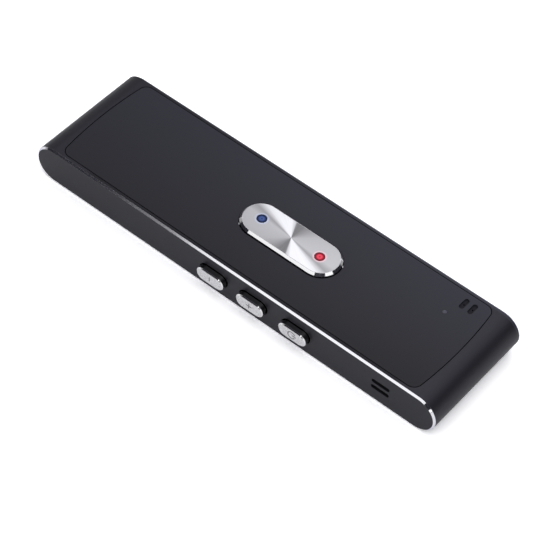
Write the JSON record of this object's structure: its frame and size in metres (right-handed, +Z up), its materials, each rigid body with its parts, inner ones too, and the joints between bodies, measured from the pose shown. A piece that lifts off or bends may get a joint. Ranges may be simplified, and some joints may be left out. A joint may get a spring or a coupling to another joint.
{
  "type": "handheld translator",
  "caption": "Slim black handheld voice translator with a tilting chromed talk key on top, chromed side push buttons and slots for speaker and microphone.",
  "frame": {"origin": "middle of the flat underside that the body lies on", "axes": "+X along the length, from the plain end towards the end with the microphone slots; +Y across the width, away from the side buttons; +Z up, out of the face with the talk key"},
  "size_m": [0.14, 0.0403, 0.0137],
  "materials": {
    "anodised_body": "matt black anodised, bright cut edges",
    "top_panel": "matt black, fine blasted grain",
    "underside_panel": "matt black moulded",
    "chrome": "polished chrome plating",
    "spun_metal": "spun brushing round the middle",
    "blue_lens": "gloss",
    "red_lens": "gloss",
    "steel": "satin",
    "tin_sheet": "satin tin plate",
    "black_plastic": "matt",
    "circuit_board": "solder mask",
    "chip_resin": "matt resin",
    "cell_foil": "satin foil",
    "foam": "closed-cell foam",
    "adhesive": "matt",
    "wire_sleeve": "satin",
    "pale_plastic": "satin",
    "black_rubber": "matt",
    "woven_mesh": "fine weave",
    "speaker_film": "satin film",
    "gilt_can": "satin gilt",
    "smoked_plastic": "smoked, satin",
    "copper_foil": "satin foil"
  },
  "bodies": {
    "housing": {"body_frame": "anodised_body", "front_panel": "top_panel", "back_panel": "underside_panel", "front_panel_adhesive": "adhesive", "back_panel_adhesive": "adhesive", "rocker_pin": "steel", "rocker_cradle": "steel", "cradle_screws": "steel", "blue_side_switch": "tin_sheet", "red_side_switch": "tin_sheet", "minus_switch": "tin_sheet", "plus_switch": "tin_sheet", "power_switch": "tin_sheet", "button_guide": "black_plastic", "side_key_board": "circuit_board", "main_board": "circuit_board", "board_screws": "steel", "processor": "chip_resin", "memory_chip": "chip_resin", "shield_can": "tin_sheet", "radio_module": "tin_sheet", "battery": "cell_foil", "battery_pad": "foam", "battery_circuit": "circuit_board", "battery_leads": "wire_sleeve", "battery_connector": "pale_plastic", "charge_socket_shell": "steel", "charge_socket_tongue": "black_plastic", "speaker": "black_plastic", "speaker_diaphragm": "speaker_film", "speaker_gasket": "foam", "speaker_mesh": "woven_mesh", "microphone": "gilt_can", "microphone_boot": "black_rubber", "indicator_led": "pale_plastic", "light_pipe": "smoked_plastic", "antenna": "copper_foil"},
    "talk_key": {"rocker_key": "chrome", "rocker_face_plate": "spun_metal", "blue_indicator": "blue_lens", "red_indicator": "red_lens"},
    "minus_key": {"minus_button": "chrome", "minus_switch_stem": "black_plastic"},
    "plus_key": {"plus_button": "chrome", "plus_switch_stem": "black_plastic"},
    "power_key": {"power_button": "chrome", "power_switch_stem": "black_plastic"}
  },
  "joints": [
    {"name": "talk_key_tilt", "type": "hinge", "parent": "housing", "child": "talk_key", "pos_m": [0.0062, 0, 0.0097], "axis": [0, 1, 0], "range_deg": [-1.5, 1.5], "stiffness_Nm_per_rad": 0.3},
    {"name": "minus_press", "type": "slide", "parent": "housing", "child": "minus_key", "axis": [0, 1, 0], "range_m": [0, 0.00035], "stiffness_N_per_m": 1500},
    {"name": "plus_press", "type": "slide", "parent": "housing", "child": "plus_key", "axis": [0, 1, 0], "range_m": [0, 0.00035], "stiffness_N_per_m": 1500},
    {"name": "power_press", "type": "slide", "parent": "housing", "child": "power_key", "axis": [0, 1, 0], "range_m": [0, 0.00035], "stiffness_N_per_m": 1500}
  ]
}
